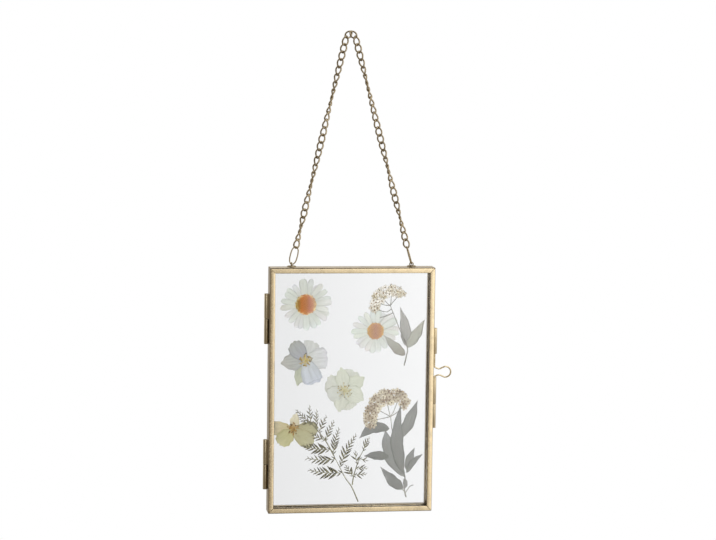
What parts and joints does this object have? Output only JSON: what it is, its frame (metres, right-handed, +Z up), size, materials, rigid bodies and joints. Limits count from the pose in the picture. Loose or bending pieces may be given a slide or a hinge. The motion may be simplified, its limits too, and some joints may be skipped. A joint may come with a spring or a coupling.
{
  "type": "pressed flower frame",
  "caption": "Slim folded-brass hinged frame holding dried flowers, a fern and sprigs between two clear panes, with a slide latch and a twisted hanging chain.",
  "frame": {"origin": "the point of the nail, under the top wire of the link that hangs on it", "axes": "+Z up, the frame hangs below the origin; the front faces -Y; +X to the viewer's right, where the latch is"},
  "size_m": [0.1191, 0.012, 0.3013],
  "materials": {
    "frame_brass": "folded brass strip, pale antique finish, brushed along its length, satin",
    "fitting_brass": "drawn brass tube and wire, antique finish, darker in the joints",
    "chain_brass": "antique brass wire, darkened, worn bright on the links' outer sides",
    "glass": "clear polished float glass",
    "white_petal": "dried white petal, thin and slightly see-through, fine lengthwise veins",
    "daisy_disc": "dried golden-orange disc of tiny florets, matt",
    "blue_petal": "dried blue-grey petal with pale green tints and fine veins",
    "green_petal": "dried cream-green petal with fine veins",
    "yellow_petal": "dried olive-yellow petal with fine veins",
    "stamen": "dried golden-brown stamens, matt",
    "fern": "dried fern frond, dark olive grey, matt",
    "florets": "dried cream florets with tan and dusky pink centres",
    "sprig_stem": "dried stalk, grey-brown, matt",
    "upper_leaf": "dried leaf, sage grey-green, with a midrib and side veins",
    "lower_leaf": "dried leaf, warm grey, with a midrib and side veins"
  },
  "bodies": {
    "back_half": {"back_frame": "frame_brass", "back_glass": "glass", "upper_hinge_back_knuckle": "fitting_brass", "upper_hinge_pin": "fitting_brass", "lower_hinge_back_knuckle": "fitting_brass", "lower_hinge_pin": "fitting_brass", "latch_upper_barrel": "fitting_brass", "latch_middle_barrel": "fitting_brass", "left_lug": "fitting_brass", "right_lug": "fitting_brass", "left_ring": "chain_brass", "right_ring": "chain_brass", "chain_left": "chain_brass", "chain_right": "chain_brass", "chain_top_link": "chain_brass", "large_daisy_petals": "white_petal", "large_daisy_disc": "daisy_disc", "small_daisy_petals": "white_petal", "small_daisy_disc": "daisy_disc", "blue_blossom_petals": "blue_petal", "blue_blossom_stamens": "stamen", "green_blossom_petals": "green_petal", "green_blossom_stamens": "stamen", "yellow_blossom_petals": "yellow_petal", "yellow_blossom_stamens": "stamen", "fern_stalk": "fern", "fern_top": "fern", "fern_side_branch": "fern", "upper_sprig_stem": "sprig_stem", "upper_sprig_florets": "florets", "upper_sprig_leaf_1": "upper_leaf", "upper_sprig_leaf_2": "upper_leaf", "upper_sprig_leaf_3": "upper_leaf", "lower_sprig_stem": "sprig_stem", "lower_sprig_florets": "florets", "lower_sprig_leaf_1": "lower_leaf", "lower_sprig_leaf_2": "lower_leaf", "lower_sprig_leaf_3": "lower_leaf", "lower_sprig_leaf_4": "lower_leaf", "lower_sprig_leaf_5": "lower_leaf", "lower_sprig_leaf_6": "lower_leaf", "lower_sprig_leaf_7": "lower_leaf", "lower_sprig_leaf_8": "lower_leaf", "lower_sprig_leaf_9": "lower_leaf"},
    "front_door": {"front_frame": "frame_brass", "front_glass": "glass", "upper_hinge_front_knuckle": "fitting_brass", "lower_hinge_front_knuckle": "fitting_brass", "latch_lower_barrel": "fitting_brass"},
    "latch_bolt": {"latch_bolt": "fitting_brass"}
  },
  "joints": [
    {"name": "door_hinge", "type": "hinge", "parent": "back_half", "child": "front_door", "pos_m": [-0.05135, -0.00308, -0.2232], "axis": [0, 0, -1], "range_deg": [0, 180]},
    {"name": "latch_slide", "type": "slide", "parent": "back_half", "child": "latch_bolt", "axis": [0, 0, 1], "range_m": [0, 0.0082]}
  ]
}
